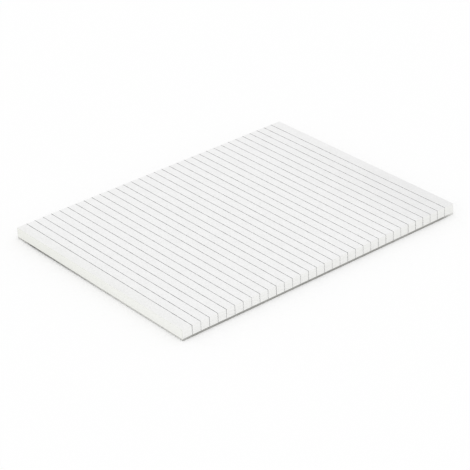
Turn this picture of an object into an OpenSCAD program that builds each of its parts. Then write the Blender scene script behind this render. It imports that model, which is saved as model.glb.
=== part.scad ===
// Ruled letter-size notepad: loose sheets glued along the head edge, on a chipboard back.
// The pad lies face up. The origin is the middle of its footprint, on the underside.
// X runs across the page, +Y from the glued head to the free foot, +Z up. Millimetres.

/* [Sheets] */
// Width of a sheet
sheet_w = 215.9; // [100:0.1:300]
// Length of a sheet from head to foot
sheet_l = 279.4; // [120:0.1:420]
// Thickness of one sheet
sheet_t = 0.1; // [0.06:0.005:0.2]
// Number of sheets in the pad
sheet_count = 80; // [20:1:150]

/* [Ruling] */
// Distance from the head edge to the middle of the first line
head_margin = 9; // [5:0.1:60]
// Least distance from the middle of the last line to the foot edge
foot_margin = 9; // [5:0.1:60]
// Distance from one line to the next
line_pitch = 8.14; // [5:0.01:12]
// Width of a line
line_w = 0.5; // [0.2:0.05:1]
// Depth of paper that the ink of a line takes up
ink_depth = 0.1; // [0.05:0.01:0.3]

/* [Backing board] */
// Thickness of the chipboard
board_t = 1.8; // [0.4:0.05:3]
// Width of the lower edge that breaks away under the cutter
board_break = 0.15; // [0.1:0.05:0.35]

/* [Head glue] */
// Thickness of the glue film
glue_t = 0.4; // [0.25:0.05:1.5]
// Thickness along the upper and lower edges of the film
glue_edge_t = 0.15; // [0.05:0.05:0.2]
// Height over which the film thins out towards those edges
glue_bevel_h = 1.4; // [0.5:0.1:3]

/* [Hidden] */

PAPER_WHITE = [0.945, 0.945, 0.94];
INK_GREY = [0.55, 0.55, 0.56];
CHIPBOARD_GREY = [0.61, 0.6, 0.575];
GLUE_WHITE = [0.94, 0.94, 0.915];

// Cutters run this far past the faces that they cut
overcut = 1;

block_h = sheet_count * sheet_t;
pad_h = board_t + block_h;

pad_l = sheet_l + glue_t;
head_y = glue_t - pad_l / 2;
sheet_mid_y = head_y + sheet_l / 2;

line_count = floor((sheet_l - head_margin - foot_margin) / line_pitch) + 1;

// The film starts above the broken edge of the board, clear of the table
glue_z = board_break;

// Section through one line, seen along the page: over the top of the block and down both long sides.
// past is how far it stands out of the block's own faces.
module line_section(past) {
    outer_x = sheet_w / 2 + past;
    inner_x = sheet_w / 2 - ink_depth;
    inner_z = block_h - ink_depth;
    polygon([
        [-outer_x, -past],
        [-outer_x, block_h + past],
        [outer_x, block_h + past],
        [outer_x, -past],
        [inner_x, -past],
        [inner_x, inner_z],
        [-inner_x, inner_z],
        [-inner_x, -past]
    ]);
}

// All ruled lines, at their places on the block
module ruled_lines(past = 0) {
    for (i = [0 : line_count - 1])
        translate([0, head_y + head_margin + i * line_pitch, board_t])
            rotate([90, 0, 0])
                linear_extrude(height = line_w, center = true)
                    line_section(past);
}

// Section of the board across a side of the given length, with both lower edges broken
module board_section(side) {
    half = side / 2;
    polygon([
        [-half + board_break, 0],
        [half - board_break, 0],
        [half, board_break],
        [half, board_t],
        [-half, board_t],
        [-half, board_break]
    ]);
}

module page_block() {
    color(PAPER_WHITE)
        difference() {
            translate([-sheet_w / 2, head_y, board_t])
                cube([sheet_w, sheet_l, block_h]);
            ruled_lines(past = overcut);
        }
}

module ruling() {
    color(INK_GREY)
        ruled_lines();
}

module backing_board() {
    color(CHIPBOARD_GREY)
        translate([0, sheet_mid_y, 0])
            intersection() {
                rotate([90, 0, 0])
                    linear_extrude(height = sheet_l, center = true)
                        board_section(sheet_w);
                rotate([90, 0, 90])
                    linear_extrude(height = sheet_w, center = true)
                        board_section(sheet_l);
            }
}

module head_glue() {
    color(GLUE_WHITE)
        rotate([90, 0, 90])
            linear_extrude(height = sheet_w, center = true)
                polygon([
                    [head_y, glue_z],
                    [head_y, pad_h],
                    [head_y - glue_edge_t, pad_h],
                    [head_y - glue_t, pad_h - glue_bevel_h],
                    [head_y - glue_t, glue_z + glue_bevel_h],
                    [head_y - glue_edge_t, glue_z]
                ]);
}

page_block();
ruling();
backing_board();
head_glue();
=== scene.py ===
"""Looks of a ruled letter-size notepad: loose sheets, ruling, a chipboard back and glue along the head."""

import math
import random

import bpy
from mathutils import Matrix, Vector, noise


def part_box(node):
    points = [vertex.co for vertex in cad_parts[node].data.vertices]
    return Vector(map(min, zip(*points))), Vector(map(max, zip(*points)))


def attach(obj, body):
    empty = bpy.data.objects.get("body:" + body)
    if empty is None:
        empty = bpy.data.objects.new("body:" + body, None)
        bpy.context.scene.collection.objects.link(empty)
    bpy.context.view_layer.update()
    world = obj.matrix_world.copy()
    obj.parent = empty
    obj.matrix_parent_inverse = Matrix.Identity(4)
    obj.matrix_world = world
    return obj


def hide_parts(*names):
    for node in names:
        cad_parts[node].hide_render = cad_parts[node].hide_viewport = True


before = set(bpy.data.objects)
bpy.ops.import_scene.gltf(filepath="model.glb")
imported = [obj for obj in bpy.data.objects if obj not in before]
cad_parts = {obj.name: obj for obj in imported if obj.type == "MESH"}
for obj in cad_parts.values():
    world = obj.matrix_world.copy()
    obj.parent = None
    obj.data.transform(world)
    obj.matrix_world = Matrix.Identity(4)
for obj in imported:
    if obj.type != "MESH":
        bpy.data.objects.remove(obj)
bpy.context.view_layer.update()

# Lengths are in metres, and this writes them in millimetres
MM = 0.001

# Sheets, each a little shifted, with a crease between its cut edge and the next
SHEET_COUNT = 80
JOG_SEED = 7
JOG_SHIFT = 0.02 * MM
EDGE_INSET = 0.03 * MM
CREASE_DEPTH = 0.012 * MM
CREASE_SHARE = 0.18
GRID_STEP = 6 * MM

# Page, which sags towards the foot in two low waves
PAGE_SAG = 0.05 * MM
SAG_MEAN = 0.5
SLANT_WAVE, SLANT_ALONG, SLANT_ACROSS = 0.3, 7.5, 2.6
CROSS_WAVE, CROSS_ACROSS = 0.2, 5.0

# Ruling, and how high up a sheet's cut edge the end of its line starts and stops
INK_T = 0.01 * MM
INK_EMBED = 0.012 * MM
TICK_LOW, TICK_HIGH = 0.22, 0.77
PLACE_DIGITS = 7

# Chipboard, with a lower edge that the cutter tore
BOARD_STEP = 2.5 * MM
BREAK_UNEVEN = 0.5
BREAK_GRAIN = 90
BREAK_MID_RISE, BREAK_MID_INSET = 1 / 3, 1 / 2
BURR, BURR_AT_TOP = 0.04 * MM, 0.02 * MM
BOARD_LAYERS = 4

# Head glue, with brush marks
GLUE_STEP = 1.5 * MM
GLUE_ROWS = 14
GLUE_EDGE_T = 0.15 * MM
GLUE_BEVEL_H = 1.4 * MM
GLUE_END_TAPER = 1.2 * MM
GLUE_AT_ENDS = 0.5
BRUSH_UNEVEN = 0.25
BRUSH_ACROSS, BRUSH_UP = 60, 300
SMOOTH_FACING = 0.7

# Painted light and shade, partly with use: glue soaked into the page with painted shade at the head,
# painted shade towards one foot corner, and board corners made paler by painted light
GLUE_SOAK_AND_SHADE = 16 * MM
PAINTED_SHADE_FROM = 60 * MM
PAINTED_SHADE_FAR_SIDE = 0.2
PAINTED_LIGHT_REACH = 14 * MM
PAINTED_LIGHT_AT_HEAD = 0.25

# Grains of a finish are in cells per metre, with these octaves of finer noise
SMOOTH, MIXED, FINE, FINEST = 2.0, 3.0, 4.0, 5.0

# Finish of the paper
PAPER_GLOSS = 0.25
PAPER_CLOUDS, PAPER_TOOTH, PAPER_FIBRES = 90, 600, 1500
CLOUD_SHARE, TOOTH_SHARE, FIBRE_SHARE = 0.2, 0.5, 0.3
PAPER_TONES = (0.3, 0.7)
PAPER_FELT, FELT_SHARE = 420, 0.5
PAPER_FACING = (0.9, 0.99)
CUT_FIBRES = (900, 900, 6000)
SHEET_TONE_SHARE = 0.6
PAPER_ROUGHNESS, PAPER_ROUGHNESS_GAIN = 0.68, 0.14
PAPER_BUMP, PAPER_RELIEF = 0.25, 0.02 * MM

# Finish of the ink, whose grain is drawn out down the cut edges
INK_GLOSS = 0.3
INK_TOOTH = 550
INK_DRAWN_OUT = (1, 1, 0.1)
INK_TONES = (0.35, 0.65)
INK_ROUGHNESS, INK_ROUGHNESS_GAIN = 0.55, 0.2
INK_BUMP, INK_RELIEF = 0.2, 0.01 * MM

# Finish of the board
BOARD_GLOSS = 0.15
BOARD_PULP = 160
BOARD_PLIES = (60, 60, 5200)
BOARD_TONES = (0.25, 0.75)
BOARD_FACING = (0.8, 0.95)
FLECKS, FLECK_SHAPE = 900, (1, 0.35, 1)
FLECK_TONES = (0.66, 0.74)
BOARD_GRIT, GRIT_SHARE = 1800, 0.6
BOARD_ROUGHNESS, BOARD_ROUGHNESS_GAIN = 0.8, 0.15
BOARD_BUMP, BOARD_RELIEF = 0.5, 0.06 * MM

# Finish of the glue, with painted light towards positive x, and the painted shade along the board's edge
# under it, which fades towards positive x and into the corner at negative x
GLUE_GLOSS = 0.4
GLUE_BRUSH = (35, 1, 900)
GLUE_BLOTCHES = 70
# The last share is painted light, which lightens the glue towards positive x
BRUSH_SHARE, BLOTCH_SHARE, PAINTED_LIGHT_SHARE = 0.5, 0.3, 0.4
GLUE_TONES = (0.3, 0.9)
SHADE_FADES_FROM, SHADE_FADES_BY = -100 * MM, 45 * MM
SHADE_FADE_CORNER = 24 * MM
COVER_BLOTCHES, BLOTCH_MEAN = 0.3, 0.5
BOARD_FADE_BELOW, BOARD_FADE_ABOVE = 0.1 * MM, 0.12 * MM
FADE_WANDER, WANDER_GRAIN = 0.1 * MM, (150, 1, 1)
GLUE_ROUGHNESS, GLUE_ROUGHNESS_GAIN = 0.36, 0.25
GLUE_BUMP, GLUE_RELIEF = 0.3, 0.05 * MM

# Colours, as linear light
PAPER_LIGHT = (0.935, 0.935, 0.934, 1)
PAPER_SHADE = (0.852, 0.852, 0.85, 1)
# Painted shade at the head of the page, with a faint yellow of soaked glue
PAPER_GLUED_AND_SHADED = (0.974, 0.974, 0.966, 1)
# Painted shade towards one foot corner of the page
PAPER_PAINTED_SHADE = (0.936, 0.936, 0.936, 1)
EDGE_LIGHT = (0.945, 0.945, 0.935, 1)
EDGE_SHADE = (0.85, 0.85, 0.835, 1)
# Painted shade towards the foot of the cut edges
EDGE_PAINTED_SHADE = (0.972, 0.972, 0.966, 1)
INK_FULL = (0.08, 0.08, 0.083, 1)
INK_FAINT = (0.4, 0.4, 0.404, 1)
BOARD_LIGHT = (0.41, 0.409, 0.39, 1)
BOARD_DARK = (0.27, 0.269, 0.255, 1)
BOARD_FLECK = (0.1, 0.099, 0.095, 1)
# Painted light: the board's corners made paler
BOARD_PAINTED_LIGHT = (0.72, 0.72, 0.7, 1)
GLUE_LIGHT = (0.895, 0.899, 0.866, 1)
GLUE_SHADE = (0.852, 0.857, 0.812, 1)
# Painted shade along the foot of the head, over the board's edge
PAINTED_SHADE_OVER_BOARD = (0.2, 0.199, 0.187, 1)
GLUE_OVER_BOARD = (0.63, 0.63, 0.605, 1)
TABLE_WHITE = (0.996, 0.996, 0.996, 1)
DAYLIGHT_WHITE = (1, 1, 1, 1)

# Camera, at the photograph's angle, with its lens and sensor in millimetres
CAMERA_AZIMUTH = math.radians(51.83)
CAMERA_ELEVATION = math.radians(28.97)
CAMERA_ROLL = math.radians(2.92)
CAMERA_DISTANCE = 1.5431
CAMERA_AIM = Vector((10.85 * MM, -9.84 * MM, 0))
CAMERA_LENS = 146.95
SENSOR = 36

# Table and light
TABLE_SIDE = 8
TABLE_GLOSS, TABLE_ROUGHNESS = 0.0, 1.0
DAYLIGHT = 1.0

block_low, block_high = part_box("page_block")
board_low, board_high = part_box("backing_board")
glue_low, glue_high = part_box("head_glue")
half_w = block_high.x
half_l = (block_high.y - block_low.y) / 2
mid_y = (block_high.y + block_low.y) / 2
paper_top = block_high.z - INK_T
sheets_per_metre = SHEET_COUNT / (block_high.z - block_low.z)

# The glue film starts where the broken edge of the board ends
break_top = glue_low.z
board_break = break_top - board_low.z

# Sockets of a Mix node that mixes colours
MIX_FACTOR, MIX_FIRST, MIX_SECOND, MIX_RESULT = 0, 6, 7, 2


class Wire:
    """One output in a material's node tree. Arithmetic adds Math nodes, and node() adds any other node."""

    def __init__(self, tree, socket=None):
        self.tree = tree
        self.socket = socket

    def node(self, kind, settings=None, inputs=None, output=0):
        """Adds a node, sets its settings and then its inputs, and gives the wire of one output."""
        made = self.tree.nodes.new(kind)
        for name, value in (settings or {}).items():
            setattr(made, name, value)
        for name, value in (inputs or {}).items():
            if isinstance(value, Wire):
                self.tree.links.new(value.socket, made.inputs[name])
            else:
                made.inputs[name].default_value = value
        return Wire(self.tree, made.outputs[output])

    def maths(self, operation, first, second=0.0):
        """A Math node on one or two wires or numbers."""
        return self.node("ShaderNodeMath", {"operation": operation}, {0: first, 1: second})

    def __add__(self, other):
        return self.maths("ADD", self, other)

    def __radd__(self, other):
        return self.maths("ADD", other, self)

    def __sub__(self, other):
        return self.maths("SUBTRACT", self, other)

    def __rsub__(self, other):
        return self.maths("SUBTRACT", other, self)

    def __mul__(self, other):
        return self.maths("MULTIPLY", self, other)

    def __rmul__(self, other):
        return self.maths("MULTIPLY", other, self)

    def __abs__(self):
        return self.maths("ABSOLUTE", self)

    def __floor__(self):
        return self.maths("FLOOR", self)

    def stretch(self, scales):
        """This place with each axis scaled by its own number."""
        return self.node("ShaderNodeVectorMath", {"operation": "MULTIPLY"}, {0: self, 1: scales})

    def grain(self, scale=1.0, detail=MIXED):
        """Soft noise from 0 to 1 at this place."""
        return self.node("ShaderNodeTexNoise", {}, {"Vector": self, "Scale": scale, "Detail": detail})

    def step(self, low, high):
        """0 below low, 1 above high and smooth between them."""
        settings = {"interpolation_type": "SMOOTHSTEP"}
        return self.node("ShaderNodeMapRange", settings, {"Value": self, "From Min": low, "From Max": high})

    def part(self, axis):
        """The X, Y or Z of this place or direction."""
        return self.node("ShaderNodeSeparateXYZ", {}, {0: self}, output=axis)

    def blend(self, first, second, mode="MIX"):
        """The first colour where this is 0 and the second, or the two mixed in a mode, where it is 1."""
        settings = {"data_type": "RGBA", "blend_type": mode}
        sockets = {MIX_FACTOR: self, MIX_FIRST: first, MIX_SECOND: second}
        return self.node("ShaderNodeMix", settings, sockets, output=MIX_RESULT)

    def tint(self, colour, share):
        """The colour, and where this is 1 only a share of it, given for red, green and blue."""
        return self.blend(colour, share, "MULTIPLY")

    def bump(self, strength, distance):
        """A surface direction roughened by this height."""
        return self.node("ShaderNodeBump", {}, {"Strength": strength, "Distance": distance, "Height": self})

    def into(self, shader, name):
        """Feeds this to a socket of the shader."""
        self.tree.links.new(self.socket, shader.inputs[name])


def begin_material(name, gloss):
    """A new material, its shader, and a wire of the place on the piece in metres."""
    material = bpy.data.materials.new(name)
    material.use_nodes = True
    shader = material.node_tree.nodes["Principled BSDF"]
    shader.inputs["Specular IOR Level"].default_value = gloss
    place = Wire(material.node_tree).node("ShaderNodeTexCoord", output="Object")
    return material, shader, place


def lying_flat(place, limits):
    """0 on faces that stand upright and 1 on faces that lie flat."""
    direction = place.node("ShaderNodeNewGeometry", output="Normal")
    return abs(direction.part("Z")).step(*limits)


def page_colour(place, fibres):
    """Clouds, tooth and fibres, with a faint yellow of soaked glue and painted shade at the head, and
    painted shade towards one foot corner.
    """
    clouds = place.grain(PAPER_CLOUDS, SMOOTH)
    tooth = place.grain(PAPER_TOOTH, SMOOTH)
    tone = (CLOUD_SHARE * clouds + TOOTH_SHARE * tooth + FIBRE_SHARE * fibres).step(*PAPER_TONES)
    # A faint yellow of glue soaked in at the head, together with painted shade that darkens the page there
    soaked_and_shaded = 1 - place.part("Y").step(block_low.y, block_low.y + GLUE_SOAK_AND_SHADE)
    # Painted shade: darker towards the foot, most at the corner on the positive x side
    painted_shade_to_side = PAINTED_SHADE_FAR_SIDE + (1 - PAINTED_SHADE_FAR_SIDE) * place.part("X").step(-half_w, half_w)
    painted_shade = painted_shade_to_side * place.part("Y").step(PAINTED_SHADE_FROM, block_high.y)
    paper = tone.blend(PAPER_SHADE, PAPER_LIGHT)
    return painted_shade.tint(soaked_and_shaded.tint(paper, PAPER_GLUED_AND_SHADED), PAPER_PAINTED_SHADE)


def cut_edge_colour(place):
    """A tone of its own for each sheet's cut edge, with fibres in it, and painted shade that darkens it
    towards the foot.
    """
    sheet_number = math.floor(place.part("Z") * sheets_per_metre)
    sheet_tone = place.node("ShaderNodeTexWhiteNoise", {"noise_dimensions": "1D"}, {"W": sheet_number})
    cut_fibres = place.stretch(CUT_FIBRES).grain(detail=SMOOTH)
    tone = SHEET_TONE_SHARE * sheet_tone + (1 - SHEET_TONE_SHARE) * cut_fibres
    painted_shading_to_foot = place.part("Y").step(block_low.y, block_high.y)
    return painted_shading_to_foot.tint(tone.blend(EDGE_SHADE, EDGE_LIGHT), EDGE_PAINTED_SHADE)


def bond_paper():
    """Uncoated white paper, on the page and at the cut edges."""
    material, shader, place = begin_material("bond_paper", PAPER_GLOSS)
    fibres = place.grain(PAPER_FIBRES, FINE)
    felt = place.grain(PAPER_FELT, MIXED)
    on_page = lying_flat(place, PAPER_FACING)
    on_page.blend(cut_edge_colour(place), page_colour(place, fibres)).into(shader, "Base Color")
    (PAPER_ROUGHNESS + PAPER_ROUGHNESS_GAIN * fibres).into(shader, "Roughness")
    (fibres + FELT_SHARE * felt).bump(PAPER_BUMP, PAPER_RELIEF).into(shader, "Normal")
    return material


def rule_ink():
    """Thin grey printing ink that the tooth of the paper breaks up a little."""
    material, shader, place = begin_material("rule_ink", INK_GLOSS)
    tooth = place.stretch(INK_DRAWN_OUT).grain(INK_TOOTH, SMOOTH)
    tooth.step(*INK_TONES).blend(INK_FULL, INK_FAINT).into(shader, "Base Color")
    (INK_ROUGHNESS + INK_ROUGHNESS_GAIN * tooth).into(shader, "Roughness")
    tooth.bump(INK_BUMP, INK_RELIEF).into(shader, "Normal")
    return material


def painted_light_corners(place):
    """1 at the corners of the board's foot, less at those of its head and 0 away from them: painted light
    that makes the board paler where the shade at its foot thins.
    """
    at_side = abs(place.part("X")).step(half_w - PAINTED_LIGHT_REACH, half_w)
    at_end = abs(place.part("Y") - mid_y).step(half_l - PAINTED_LIGHT_REACH, half_l)
    painted_shading_to_foot = PAINTED_LIGHT_AT_HEAD + (1 - PAINTED_LIGHT_AT_HEAD) * place.part("Y").step(-half_l, half_l)
    return at_side * at_end * painted_shading_to_foot


def chipboard():
    """Grey board pressed from waste paper: mottled pulp with dark flecks, in plies at its cut edges, with
    paler corners as painted light.
    """
    material, shader, place = begin_material("chipboard", BOARD_GLOSS)
    pulp = place.grain(BOARD_PULP, FINEST)
    plies = place.stretch(BOARD_PLIES).grain(detail=SMOOTH)
    grit = place.grain(BOARD_GRIT, MIXED)
    on_face = lying_flat(place, BOARD_FACING)
    body = (on_face * pulp + (1 - on_face) * plies).step(*BOARD_TONES).blend(BOARD_DARK, BOARD_LIGHT)
    flecks = place.stretch(FLECK_SHAPE).grain(FLECKS, SMOOTH).step(*FLECK_TONES)
    flecked = flecks.blend(body, BOARD_FLECK)
    painted_light_corners(place).blend(flecked, BOARD_PAINTED_LIGHT).into(shader, "Base Color")
    (BOARD_ROUGHNESS + BOARD_ROUGHNESS_GAIN * pulp).into(shader, "Roughness")
    (pulp + GRIT_SHARE * grit).bump(BOARD_BUMP, BOARD_RELIEF).into(shader, "Normal")
    return material


def glue_over_sheets(place, brush, blotches):
    """White glue in brush marks and blotches, with painted light that makes it lighter towards positive x.
    """
    painted_light_to_positive_x = place.part("X").step(-half_w, half_w)
    tone = BRUSH_SHARE * brush + BLOTCH_SHARE * blotches + PAINTED_LIGHT_SHARE * painted_light_to_positive_x
    return tone.step(*GLUE_TONES).blend(GLUE_SHADE, GLUE_LIGHT)


def glue_and_painted_shade_over_board(place, blotches):
    """Glue over the grey board's edge, with painted shade along its foot that fades towards positive x and
    into the corner at negative x.
    """
    shade_fades_in_corner = 1 - place.part("X").step(-half_w, -half_w + SHADE_FADE_CORNER)
    shade_fades_to_positive_x = place.part("X").step(SHADE_FADES_FROM, SHADE_FADES_BY)
    cover_and_shade_fade = shade_fades_to_positive_x + shade_fades_in_corner + COVER_BLOTCHES * (blotches - BLOTCH_MEAN)
    return cover_and_shade_fade.blend(PAINTED_SHADE_OVER_BOARD, GLUE_OVER_BOARD)


def padding_glue():
    """Dried white glue, brushed on along the head over the sheets and the board, with painted shade along
    the board's edge and painted light towards positive x.
    """
    material, shader, place = begin_material("padding_glue", GLUE_GLOSS)
    brush = place.stretch(GLUE_BRUSH).grain(detail=MIXED)
    blotches = place.grain(GLUE_BLOTCHES, MIXED)
    height = place.part("Z") + FADE_WANDER * place.stretch(WANDER_GRAIN).grain(detail=SMOOTH)
    off_board = height.step(board_high.z - BOARD_FADE_BELOW, board_high.z + BOARD_FADE_ABOVE)
    shaded_band_over_board = glue_and_painted_shade_over_board(place, blotches)
    over_sheets = glue_over_sheets(place, brush, blotches)
    off_board.blend(shaded_band_over_board, over_sheets).into(shader, "Base Color")
    (GLUE_ROUGHNESS + GLUE_ROUGHNESS_GAIN * blotches).into(shader, "Roughness")
    (brush + blotches).bump(GLUE_BUMP, GLUE_RELIEF).into(shader, "Normal")
    return material


def white_table():
    """A plain white table top that keeps soft shadows."""
    material, shader, _ = begin_material("white_table", TABLE_GLOSS)
    shader.inputs["Base Color"].default_value = TABLE_WHITE
    shader.inputs["Roughness"].default_value = TABLE_ROUGHNESS
    return material


def piece_from(name, points, faces, material, solid):
    """A new piece of the pad that stands for the named solid."""
    mesh = bpy.data.meshes.new(name)
    mesh.from_pydata(points, [], faces)
    mesh.materials.append(material)
    mesh.validate()
    piece = bpy.data.objects.new(name, mesh)
    bpy.context.scene.collection.objects.link(piece)
    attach(piece, "root")
    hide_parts(solid)
    return piece


def steps_along(length, step):
    """Evenly spaced places from -1 to 1, about one step of a side of this length apart."""
    count = math.ceil(length / step)
    return [2 * i / count - 1 for i in range(count + 1)]


def rim_of(across, along):
    """Places round a rectangle, anticlockwise from above, as shares of its half width and half length."""
    front = [(u, -1) for u in across[:-1]]
    right = [(1, v) for v in along[:-1]]
    back = [(u, 1) for u in reversed(across[1:])]
    left = [(-1, v) for v in reversed(along[1:])]
    return front + right + back + left


def band_between(lower, upper, count):
    """Faces that join two rings of this many points, given by their first indices."""
    after = [(i + 1) % count for i in range(count)]
    return [(lower + i, lower + after[i], upper + after[i], upper + i) for i in range(count)]


def add_body(points, faces, rings):
    """A closed body through a row of rings, which run anticlockwise as seen from the last one."""
    start = len(points)
    count = len(rings[0])
    for ring in rings:
        points.extend(ring)
    last = len(points) - count
    for lower in range(start, last, count):
        faces.extend(band_between(lower, lower + count, count))
    faces.append(tuple(reversed(range(start, start + count))))
    faces.append(tuple(range(last, last + count)))


def page_height(x, y, level):
    """Height of a level in the stack, from 0 at the board to 1 at the page, which is a little uneven."""
    along = (y - block_low.y) / (2 * half_l)
    across = x / half_w
    slant_wave = SLANT_WAVE * math.sin(SLANT_ALONG * along + SLANT_ACROSS * across)
    cross_wave = CROSS_WAVE * math.cos(CROSS_ACROSS * across)
    page = paper_top - PAGE_SAG * along * (SAG_MEAN + slant_wave + cross_wave)
    return block_low.z + (page - block_low.z) * level


def jogged_sheets():
    """Each sheet's inset from the pad's sides and its shift along x and y, from the board upwards."""
    random.seed(JOG_SEED)
    sheets = []
    for _ in range(SHEET_COUNT - 1):
        shift_x = random.uniform(-JOG_SHIFT, JOG_SHIFT)
        shift_y = random.uniform(-JOG_SHIFT, JOG_SHIFT)
        sheets.append((EDGE_INSET, shift_x, shift_y))
    sheets.append((INK_T, 0.0, 0.0))
    return sheets


def sheet_ring(rim, level, inset, shift_x, shift_y):
    """Points round the sheets at one level of the stack."""
    ring = []
    for u, v in rim:
        x = u * (half_w - inset) + shift_x
        y = mid_y + v * (half_l - inset) + shift_y
        ring.append((x, y, page_height(x, y, level)))
    return ring


def sheet_rings(rim, sheets):
    """Rings up the stack, where the cut edge of every sheet stands out between two creases."""
    rings = []
    for number, (inset, shift_x, shift_y) in enumerate(sheets):
        for rise, depth in ((0, CREASE_DEPTH), (CREASE_SHARE, 0), (1 - CREASE_SHARE, 0)):
            level = (number + rise) / SHEET_COUNT
            rings.append(sheet_ring(rim, level, inset + depth, shift_x, shift_y))
    rings.append(sheet_ring(rim, 1, INK_T, 0.0, 0.0))
    return rings


def add_page(points, faces, across, along, rim):
    """The page, a grid whose outer points are those of the last ring."""
    first = len(points) - len(rim)
    place_of = {spot: first + i for i, spot in enumerate(rim)}
    for v in along[1:-1]:
        for u in across[1:-1]:
            x, y = u * half_w, mid_y + v * half_l
            place_of[u, v] = len(points)
            points.append((x, y, page_height(x, y, 1)))
    for v0, v1 in zip(along, along[1:]):
        for u0, u1 in zip(across, across[1:]):
            faces.append((place_of[u0, v0], place_of[u1, v0], place_of[u1, v1], place_of[u0, v1]))


def sheet_stack(sheets, material):
    """The loose sheets: the cut edges of all of them, under one page."""
    across = steps_along(2 * half_w, GRID_STEP)
    along = steps_along(2 * half_l, GRID_STEP)
    rim = rim_of(across, along)
    points, faces = [], []
    add_body(points, faces, sheet_rings(rim, sheets))
    # The page takes the place of the body's plain top
    faces.pop()
    add_page(points, faces, across, along, rim)
    piece_from("sheet_stack", points, faces, material, "page_block")


def line_edges():
    """The lower and upper y of each ruled line, read from the solid ruling."""
    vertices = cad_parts["ruling"].data.vertices
    seen = sorted({round(vertex.co.y, PLACE_DIGITS) for vertex in vertices})
    return list(zip(seen[0::2], seen[1::2]))


def ink_section(x, edges, low_z, high_z):
    """The corners of a line's section at one place across the page."""
    low_y, high_y = edges
    return [(x, low_y, low_z), (x, high_y, low_z), (x, high_y, high_z), (x, low_y, high_z)]


def printed_line(edges):
    """Sections of one line across the page, just proud of the paper."""
    middle_y = sum(edges) / 2
    sections = []
    for u in steps_along(2 * half_w, GRID_STEP):
        x = u * half_w
        page = page_height(x, middle_y, 1)
        sections.append(ink_section(x, edges, page - INK_EMBED, page + INK_T))
    return sections


def line_end(edges, side, number, inset, shift_x):
    """Sections of the end of one line in the cut edge of one sheet, on the side -1 or 1."""
    middle_y = sum(edges) / 2
    edge_x = side * (half_w - inset) + shift_x
    low_z = page_height(edge_x, middle_y, (number + TICK_LOW) / SHEET_COUNT)
    high_z = page_height(edge_x, middle_y, (number + TICK_HIGH) / SHEET_COUNT)
    ends = sorted((edge_x - side * INK_EMBED, edge_x + side * INK_T))
    return [ink_section(x, edges, low_z, high_z) for x in ends]


def ruling_lines(sheets, material):
    """The printed lines across the page, and the end of each sheet's own line in the long cut sides."""
    points, faces = [], []
    for edges in line_edges():
        add_body(points, faces, printed_line(edges))
        for number, (inset, shift_x, _) in enumerate(sheets):
            for side in (-1, 1):
                add_body(points, faces, line_end(edges, side, number, inset, shift_x))
    piece_from("ruling_lines", points, faces, material, "ruling")


def board_ring(rim, z, inset):
    """Points round the board at one height, set in unevenly."""
    ring = []
    for u, v in rim:
        tear = noise.noise(Vector((u * half_w, v * half_l, z)) * BREAK_GRAIN)
        room = inset * (1 + BREAK_UNEVEN * tear)
        ring.append((u * (half_w - room), mid_y + v * (half_l - room), z))
    return ring


def chipboard_back(material):
    """The board under the sheets, with a torn lower edge and a faint burr where the cutter left it."""
    rim = rim_of(steps_along(2 * half_w, BOARD_STEP), steps_along(2 * half_l, BOARD_STEP))
    layer_h = (board_high.z - break_top) / BOARD_LAYERS
    levels = [(board_low.z, board_break)]
    levels.append((board_low.z + board_break * BREAK_MID_RISE, board_break * BREAK_MID_INSET))
    levels += [(break_top + layer * layer_h, BURR) for layer in range(BOARD_LAYERS)]
    levels.append((board_high.z, BURR_AT_TOP))
    points, faces = [], []
    add_body(points, faces, [board_ring(rim, z, inset) for z, inset in levels])
    piece_from("chipboard_back", points, faces, material, "backing_board")


def film_section(x):
    """Points round the film at one place along the head: a back edge, the brushed face, a back edge."""
    height = glue_high.z - glue_low.z
    swell_most = glue_high.y - glue_low.y - GLUE_EDGE_T
    end = min(1, (half_w - abs(x)) / GLUE_END_TAPER)
    fullness = GLUE_AT_ENDS + (1 - GLUE_AT_ENDS) * end
    section = [(x, glue_high.y, glue_low.z)]
    for row in range(GLUE_ROWS):
        z = glue_low.z + height * row / (GLUE_ROWS - 1)
        bevel = min(1, (z - glue_low.z) / GLUE_BEVEL_H, (glue_high.z - z) / GLUE_BEVEL_H)
        mark = abs(noise.noise(Vector((x * BRUSH_ACROSS, 0, z * BRUSH_UP))))
        swell = swell_most * bevel * (1 - BRUSH_UNEVEN * mark) * fullness
        section.append((x, glue_high.y - GLUE_EDGE_T - swell, z))
    section.append((x, glue_high.y, glue_high.z))
    return section


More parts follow.
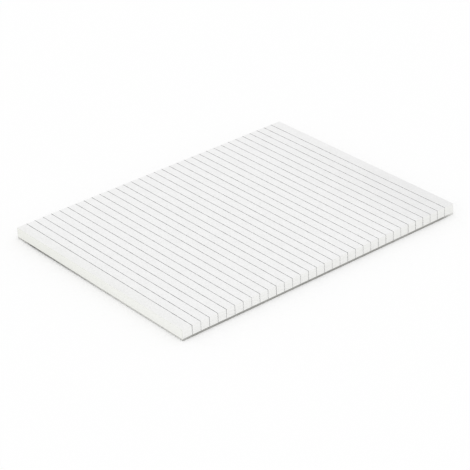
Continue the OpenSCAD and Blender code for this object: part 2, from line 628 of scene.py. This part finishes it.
def head_glue_film(material):
    """The glue along the head: a flat face with brush marks, thinner towards its edges and ends."""
    stations = [u * half_w for u in reversed(steps_along(2 * half_w, GLUE_STEP))]
    points, faces = [], []
    add_body(points, faces, [film_section(x) for x in stations])
    film = piece_from("head_glue_film", points, faces, material, "head_glue")
    for face in film.data.polygons:
        face.use_smooth = abs(face.normal.y) > SMOOTH_FACING


def lay_table():
    """A plain white table under the pad."""
    reach = TABLE_SIDE / 2
    corners = [(-reach, -reach, 0), (reach, -reach, 0), (reach, reach, 0), (-reach, reach, 0)]
    mesh = bpy.data.meshes.new("table")
    mesh.from_pydata(corners, [], [tuple(range(len(corners)))])
    mesh.materials.append(white_table())
    table = bpy.data.objects.new("table", mesh)
    bpy.context.scene.collection.objects.link(table)


def light_room():
    """Even white light from all round, at which a colour renders as it is written."""
    world = bpy.data.worlds.new("daylight")
    world.use_nodes = True
    sky = world.node_tree.nodes["Background"]
    sky.inputs["Color"].default_value = DAYLIGHT_WHITE
    sky.inputs["Strength"].default_value = DAYLIGHT
    bpy.context.scene.world = world
    bpy.context.scene.view_settings.view_transform = "Standard"


def set_camera():
    """A long lens that looks down on the corner between the head and a long side."""
    flat = math.cos(CAMERA_ELEVATION)
    back = Vector((
        math.sin(CAMERA_AZIMUTH) * flat,
        -math.cos(CAMERA_AZIMUTH) * flat,
        math.sin(CAMERA_ELEVATION),
    ))
    level = Vector((math.cos(CAMERA_AZIMUTH), math.sin(CAMERA_AZIMUTH), 0))
    upright = back.cross(level)
    right = math.cos(CAMERA_ROLL) * level - math.sin(CAMERA_ROLL) * upright
    up = math.sin(CAMERA_ROLL) * level + math.cos(CAMERA_ROLL) * upright
    lens = bpy.data.cameras.new("camera")
    lens.sensor_width = SENSOR
    lens.lens = CAMERA_LENS
    camera = bpy.data.objects.new("camera", lens)
    turned = Matrix((right, up, back)).transposed().to_4x4()
    camera.matrix_world = Matrix.Translation(CAMERA_AIM + back * CAMERA_DISTANCE) @ turned
    bpy.context.scene.collection.objects.link(camera)
    bpy.context.scene.camera = camera


set_camera()
lay_table()
light_room()
sheets = jogged_sheets()
sheet_stack(sheets, bond_paper())
ruling_lines(sheets, rule_ink())
chipboard_back(chipboard())
head_glue_film(padding_glue())
